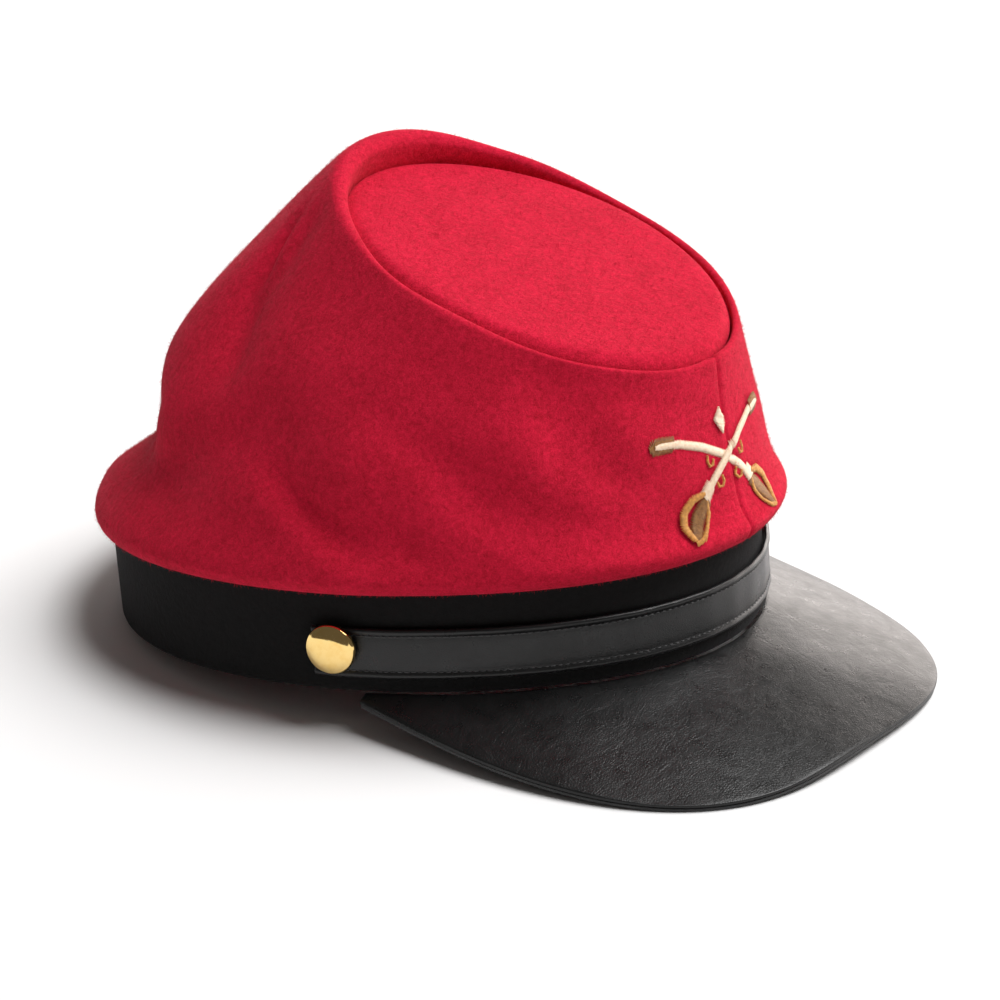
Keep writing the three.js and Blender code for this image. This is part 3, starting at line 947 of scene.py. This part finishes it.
@dataclass
class DomedButton:
    """A gilt button: a dome spun from its section, with a turned rim and the post that holds it."""

    side: Side
    radius: float = 7.0
    dome: float = 3.8
    rim: float = 0.8
    angle_deg: float = 16.8
    up: float = 13.4
    out: float = 2.5
    post_radius: float = 1.7
    post_length: float = 6.6

    def build(self) -> bpy.types.Object:
        """Spins the button and sets it on the strap.

        Returns:
            The finished button.
        """
        name = f"button_{self.side.value}"
        bpy.ops.object.select_all(action="DESELECT")
        bpy.ops.mesh.primitive_uv_sphere_add(segments=56, ring_count=28, radius=self.radius * MM)
        piece = bpy.context.object
        piece.name = f"{name}_gilt"
        move_points(piece, self.turned)
        self.add_post(piece)
        smooth(piece, 40)
        piece.matrix_world = self.seat()
        select_only(piece)
        bpy.ops.object.transform_apply(location=True, rotation=True, scale=True)
        finish_piece(piece, "gilt", GiltFinish().material(), name)
        return piece

    def turned(self, points: np.ndarray, _: np.ndarray) -> np.ndarray:
        """Presses a ball into the button's section: a low dome over a rounded rim, with a flat back.

        Args:
            points: Points of a ball of the button's radius.

        Returns:
            Points of the button about its own axis, its back at 0.
        """
        points = points / MM
        radius = np.hypot(points[:, 0], points[:, 1])
        share = np.clip(radius / self.radius, 0, 1)
        upper = points[:, 2] >= -1e-6
        dome = self.rim + (self.dome - self.rim) * np.sqrt(np.maximum(1 - (share / 1.04) ** 2.3, 0))
        lip = 0.18 * np.exp(-(((share - 0.95) / 0.035) ** 2))
        back = self.rim * np.clip((share - 0.9) / 0.1, 0, 1) ** 2
        height = np.where(upper, dome + lip, back)
        return np.stack([points[:, 0], points[:, 1], height], -1) * MM

    def add_post(self, piece: bpy.types.Object) -> None:
        """Draws the post out of the middle of the button's back."""
        with editing(piece):
            bpy.ops.object.mode_set(mode="OBJECT")
            for face in piece.data.polygons:
                middle = face.center / MM
                face.select = middle.z < 0.3 and math.hypot(middle.x, middle.y) < self.post_radius
            bpy.ops.object.mode_set(mode="EDIT")
            bpy.ops.mesh.extrude_region_move(TRANSFORM_OT_translate={"value": (0, 0, -self.post_length * MM)})

    def seat(self) -> Matrix:
        """Where the button sits: on the strap's face, square to the band."""
        angle = math.radians(self.angle_deg)
        if self.side is Side.LEFT:
            angle = math.pi - angle
        spot, = CAP.band_point(np.array([angle]), np.array([self.out]), np.array([self.up]))
        outward, = CAP.normal(np.array([angle]))
        facing = Vector((0, 0, 1)).rotation_difference(Vector(outward))
        here = Matrix.Translation(Vector(spot)) @ facing.to_matrix().to_4x4() @ Matrix.Scale(1 / MM, 4)
        return CAP.matrix() @ here


# ---------------------------------------------------------------- peak


@dataclass
class Peak:
    """The peak: an upper leather with hide creases over a smooth lower one, both with rounded edges."""

    ridge: float = 0.5

    def build(self) -> list[bpy.types.Object]:
        """Rounds the frame's two leathers and gives the upper one its undulations.

        Returns:
            The two leathers.
        """
        upper = copy_of_node("peak_upper", "peak_upper_leather")
        under = copy_of_node("peak_underside", "peak_underside_leather")
        for piece in (upper, under):
            with editing(piece, "EDGE"):
                bpy.ops.mesh.edges_select_sharp(sharpness=math.radians(50))
                bpy.ops.transform.edge_crease(value=0.55)
            subdivide(piece, 3)
        move_points(upper, self.undulating)
        for piece in (upper, under):
            smooth(piece)
        finish_piece(upper, "black_leather", PEAK_LEATHER.material(), "peak_upper")
        finish_piece(under, "black_leather", LINING_LEATHER.material(), "peak_underside")
        return [upper, under]

    def undulating(self, points: np.ndarray, normals: np.ndarray) -> np.ndarray:
        """Lets the upper leather rise and fall slightly over the lower one.

        Args:
            points: The leather's points.
            normals: Their directions.

        Returns:
            The moved points.
        """
        x, y, _ = CAP.own(points).T
        waves = np.sin(x / 13 + 0.8 * np.sin(y / 17)) * np.sin(y / 11 + x / 23) + 0.5 * np.sin(x / 7.3 - y / 9.1)
        upwards = np.clip(normals[:, 2], 0, 1)
        return points + normals * (self.ridge * 0.35 * waves * upwards * MM)[:, None]


# ---------------------------------------------------------------- badge


@dataclass(frozen=True)
class SatinStroke:
    """One stroke of satin stitch: a run of threads laid across a line.

    Attributes:
        line: The points it follows, across and up in millimetres from the badge's middle.
        widths: Its width at each of them.
        thread: Which thread it is sewn in.
        height: How far it stands off the cloth.
    """

    line: tuple[tuple[float, float], ...]
    widths: tuple[float, ...]
    thread: str
    height: float = 0.0


class BadgeThread(Enum):
    """The threads that the badge is sewn in."""

    CREAM = ThreadFinish("cream_thread", (0.97, 0.82, 0.64), (0.86, 0.62, 0.42), 0.1)
    GOLD = ThreadFinish("gold_thread", (0.74, 0.36, 0.07), (0.46, 0.18, 0.03), 0.1)
    BROWN = ThreadFinish("brown_thread", (0.36, 0.16, 0.035), (0.17, 0.06, 0.012), 0.1)


@dataclass
class SabreBadge:
    """A plain embroidered badge of two sheathed sabres, crossed, under a lozenge."""

    wall: bpy.types.Object
    up: float = 53.6
    spread: float = 79.0
    centre: float = -20.0
    scale: float = 0.88
    thread_thickness: float = 0.44
    pitch: float = 0.4

    def build(self) -> list[bpy.types.Object]:
        """Sews every stroke, thread by thread, on to the front of the crown.

        Returns:
            One piece for each colour of thread.
        """
        mesh = self.wall.data
        self.tree = BVHTree.FromPolygons([v.co for v in mesh.vertices], [p.vertices for p in mesh.polygons])
        pieces = []
        for thread in BadgeThread:
            starts, ends, outwards = [], [], []
            for stroke in self.strokes():
                if stroke.thread == thread.name:
                    for start, end, outward in self.sewn(stroke):
                        starts.append(start)
                        ends.append(end)
                        outwards.append(outward)
            piece = threads(
                f"badge_{thread.name.lower()}", np.array(starts), np.array(ends), self.thread_thickness * MM,
                0.35 * MM, np.array(outwards),
            )
            finish_piece(piece, "red_felt", thread.value.material())
            pieces.append(piece)
        return pieces

    def strokes(self) -> list[SatinStroke]:
        """Draws the badge: each sabre once, and turned over for its fellow, then the lozenge."""
        drawn = []
        for mirror, height in ((1, 0.0), (-1, 0.5)):
            def line(*points: tuple[float, float]) -> tuple[tuple[float, float], ...]:
                """Turns points over for the second sabre."""
                return tuple((mirror * x, y) for x, y in points)

            drawn += [
                SatinStroke(line((-26, 9.4), (-19, 8.6), (-10, 5.6), (0, 0.6), (7, -4.4), (12, -9)),
                            (2.6, 2.8, 2.9, 3.0, 3.0, 2.8), "CREAM", height),
                SatinStroke(line((-30.4, 9.2), (-29.4, 9.6), (-26.5, 9.6), (-21.5, 9.1)),
                            (2.2, 5.0, 5.4, 5.0), "BROWN", height + 0.1),
                SatinStroke(line((-28.4, 9.5), (-26.5, 9.5), (-21.5, 9.0)), (1.8, 2.6, 2.8), "CREAM", height + 0.3),
                SatinStroke(line((-8.6, 2.4), (-8.9, 0.6), (-8.2, -0.8)), (0.9, 1.0, 0.9), "GOLD", height + 0.1),
                SatinStroke(line((-8.2, -0.8), (-6.8, -0.6), (-6.3, 0.8)), (0.9, 1.0, 0.9), "GOLD", height + 0.1),
                SatinStroke(line((4.2, -4.6), (3.6, -6.4), (4.6, -7.8)), (0.9, 1.0, 0.9), "GOLD", height + 0.1),
                SatinStroke(line((4.6, -7.8), (6.2, -7.6), (6.7, -6.2)), (0.9, 1.0, 0.9), "GOLD", height + 0.1),
                SatinStroke(line((9.6, -6.2), (12.6, -9.6)), (4.6, 5.2), "CREAM", height + 0.15),
                SatinStroke(line((11.8, -10.4), (15.2, -13.2), (18.2, -17), (19.6, -20.4)),
                            (4.4, 5.2, 5.0, 3.4), "BROWN", height + 0.1),
                SatinStroke(line((12.8, -8.2), (17.4, -8.8), (21.4, -12), (22.4, -16.2), (20.6, -20.4)),
                            (2.0, 2.8, 3.0, 2.8, 2.2), "GOLD", height + 0.25),
                SatinStroke(line((12.2, -10.6), (12.4, -14.4), (14.6, -18)), (1.4, 1.6, 1.3), "GOLD", height + 0.2),
                SatinStroke(line((14.6, -18), (17.4, -20.6), (20.6, -21.2)), (1.3, 1.6, 1.5), "GOLD", height + 0.2),
            ]
        drawn.append(SatinStroke(((0, 7.4), (0, 11.4), (0, 15.4)), (0.5, 6.4, 0.5), "CREAM", 0.5))
        return drawn

    def on_cloth(self, across: float, up: float, height: float) -> tuple[Vector, Vector]:
        """Finds a place of the badge on the crown's face.

        Args:
            across: Millimetres to the wearer's left of the seam.
            up: Millimetres above the badge's middle.
            height: How far off the cloth.

        Returns:
            The place and the cloth's outward direction there.
        """
        turn = (across * self.scale + 1.2) / self.spread
        outward = Vector((math.sin(turn), -math.cos(turn), 0))
        matrix = CAP.matrix()
        far = matrix @ (Vector((0, self.centre, self.up + up * self.scale)) + outward * 130)
        inwards = (matrix.to_3x3() @ -outward).normalized()
        spot, normal, _, _ = self.tree.ray_cast(far, inwards, 1)
        if normal.dot(inwards) > 0:
            normal = -normal
        return spot + normal * (height * MM), normal

    def sewn(self, stroke: SatinStroke) -> Iterator[tuple[Vector, Vector, Vector]]:
        """Lays a stroke's threads side by side.

        Args:
            stroke: The stroke.

        Yields:
            Each thread's two ends and the direction that it stands out in.
        """
        line = np.array(stroke.line)
        steps = np.concatenate([[0], np.cumsum(np.linalg.norm(np.diff(line, axis=0), axis=1))])
        count = max(2, int(steps[-1] / self.pitch))
        for place in np.linspace(0, steps[-1], count):
            here = np.array([np.interp(place, steps, line[:, axis]) for axis in (0, 1)])
            ahead = np.array([np.interp(min(place + 0.5, steps[-1]), steps, line[:, axis]) for axis in (0, 1)])
            behind = np.array([np.interp(max(place - 0.5, 0), steps, line[:, axis]) for axis in (0, 1)])
            along = (ahead - behind) / max(np.linalg.norm(ahead - behind), 1e-6)
            width = np.interp(place, steps, stroke.widths) + 0.18 * math.sin(place * 9.7)
            side = np.array([-along[1], along[0]]) + along * 0.25
            start, normal = self.on_cloth(*(here - side * width / 2), stroke.height + 0.1)
            end, _ = self.on_cloth(*(here + side * width / 2), stroke.height + 0.1)
            yield start, end, normal


# ---------------------------------------------------------------- stage


@dataclass
class Studio:
    """A white table in soft light from the right, and the camera at the cap's three-quarter view."""

    camera_place: tuple[float, float, float] = (-0.547448, -0.438635, 0.319872)
    target: tuple[float, float, float] = (0.001934, 0.003566, 0.037950)
    roll_deg: float = 0.49
    lens_mm: float = 93.98
    floor_size: float = 24.0
    bright_side: Vector = Vector((0.8, 0.1, -0.6))
    surround: tuple[tuple[float, float], ...] = ((0.0, 0.1), (0.3, 0.13), (0.44, 1.8), (0.6, 4.2), (1.0, 4.2))
    warmth: tuple[float, float, float] = (1.08, 1.0, 0.95)
    key_from: Vector = Vector((0.42, -0.42, 1.15))
    key_strength: float = 4.15
    key_spread_deg: float = 44

    def build(self) -> None:
        """Lays the table, hangs the lights and sets the camera."""
        self.lay_table()
        self.hang_lights()
        self.set_camera()

    def lay_table(self) -> None:
        """Lays a wide, white, matt table top at the height the cap rests on."""
        bpy.ops.object.select_all(action="DESELECT")
        bpy.ops.mesh.primitive_plane_add(size=self.floor_size, location=(0, 0, 0))
        floor = bpy.context.object
        floor.name = "table_top"
        nodes = Nodes("white_table")
        nodes.shader.inputs["Base Color"].default_value = (0.8, 0.8, 0.8, 1)
        nodes.shader.inputs["Roughness"].default_value = 0.9
        nodes.shader.inputs["Specular IOR Level"].default_value = 0.1
        floor.data.materials.append(nodes.material)

    def hang_lights(self) -> None:
        """Hangs a broad soft key at the right and a surround that is dim but for that side."""
        world = bpy.data.worlds.new("soft_surround")
        bpy.context.scene.world = world
        world.use_nodes = True
        tree = world.node_tree
        background = tree.nodes["Background"]
        coordinates = tree.nodes.new("ShaderNodeTexCoord")
        facing = tree.nodes.new("ShaderNodeVectorMath")
        facing.operation = "DOT_PRODUCT"
        facing.inputs[1].default_value = self.bright_side.normalized()
        ramp = tree.nodes.new("ShaderNodeValToRGB")
        elements = ramp.color_ramp.elements
        for _ in self.surround[2:]:
            elements.new(0.5)
        for element, (place, level) in zip(elements, self.surround):
            element.position = place
            element.color = (*(level * tint for tint in self.warmth), 1)
        tree.links.new(coordinates.outputs["Generated"], facing.inputs[0])
        tree.links.new(facing.outputs["Value"], ramp.inputs["Fac"])
        tree.links.new(ramp.outputs["Color"], background.inputs["Color"])
        background.inputs["Strength"].default_value = 1.0
        self.sun("key", self.key_from, self.key_strength, self.key_spread_deg)

    @staticmethod
    def sun(name: str, direction: Vector, strength: float, spread_deg: float) -> None:
        """Hangs a far light whose size gives its shadow a soft edge."""
        light = bpy.data.lights.new(name, "SUN")
        light.energy = strength
        light.angle = math.radians(spread_deg)
        lamp = bpy.data.objects.new(name, light)
        lamp.rotation_euler = direction.to_track_quat("Z", "Y").to_euler()
        bpy.context.scene.collection.objects.link(lamp)

    def set_camera(self) -> None:
        """Sets the camera on its stand, aimed at the cap's middle."""
        data = bpy.data.cameras.new("camera")
        data.lens = self.lens_mm
        data.sensor_width = 36
        data.clip_start, data.clip_end = 0.01, 100
        camera = bpy.data.objects.new("camera", data)
        place = Vector(self.camera_place)
        facing = (place - Vector(self.target)).to_track_quat("Z", "Y")
        camera.location = place
        camera.rotation_euler = (facing @ Quaternion((0, 0, 1), math.radians(self.roll_deg))).to_euler()
        bpy.context.scene.collection.objects.link(camera)
        bpy.context.scene.camera = camera
        bpy.context.scene.view_settings.view_transform = "Standard"


# ---------------------------------------------------------------- the whole cap


def triangles(piece: bpy.types.Object) -> int:
    """Counts a piece's triangles."""
    return sum(len(face.vertices) - 2 for face in piece.data.polygons)


def main() -> None:
    """Builds the cap's sub-assemblies in order and reports each piece."""
    logging.basicConfig(level=logging.INFO, format="%(name)s: %(message)s")
    wall = CrownSide().build()
    top = CrownTop().build()
    pieces = [wall, top, HeadBand().build(), *ChinStrap().build()]
    pieces += [DomedButton(side).build() for side in Side]
    pieces += Peak().build()
    pieces += SabreBadge(wall).build()
    pieces += [Nap(wall, 60000, wall.data.materials[0]).build(), Nap(top, 12000, top.data.materials[0]).build()]
    for piece in pieces:
        log.info("%s: %d triangles", piece.name, triangles(piece))
    Studio().build()


if __name__ == "__main__":
    main()
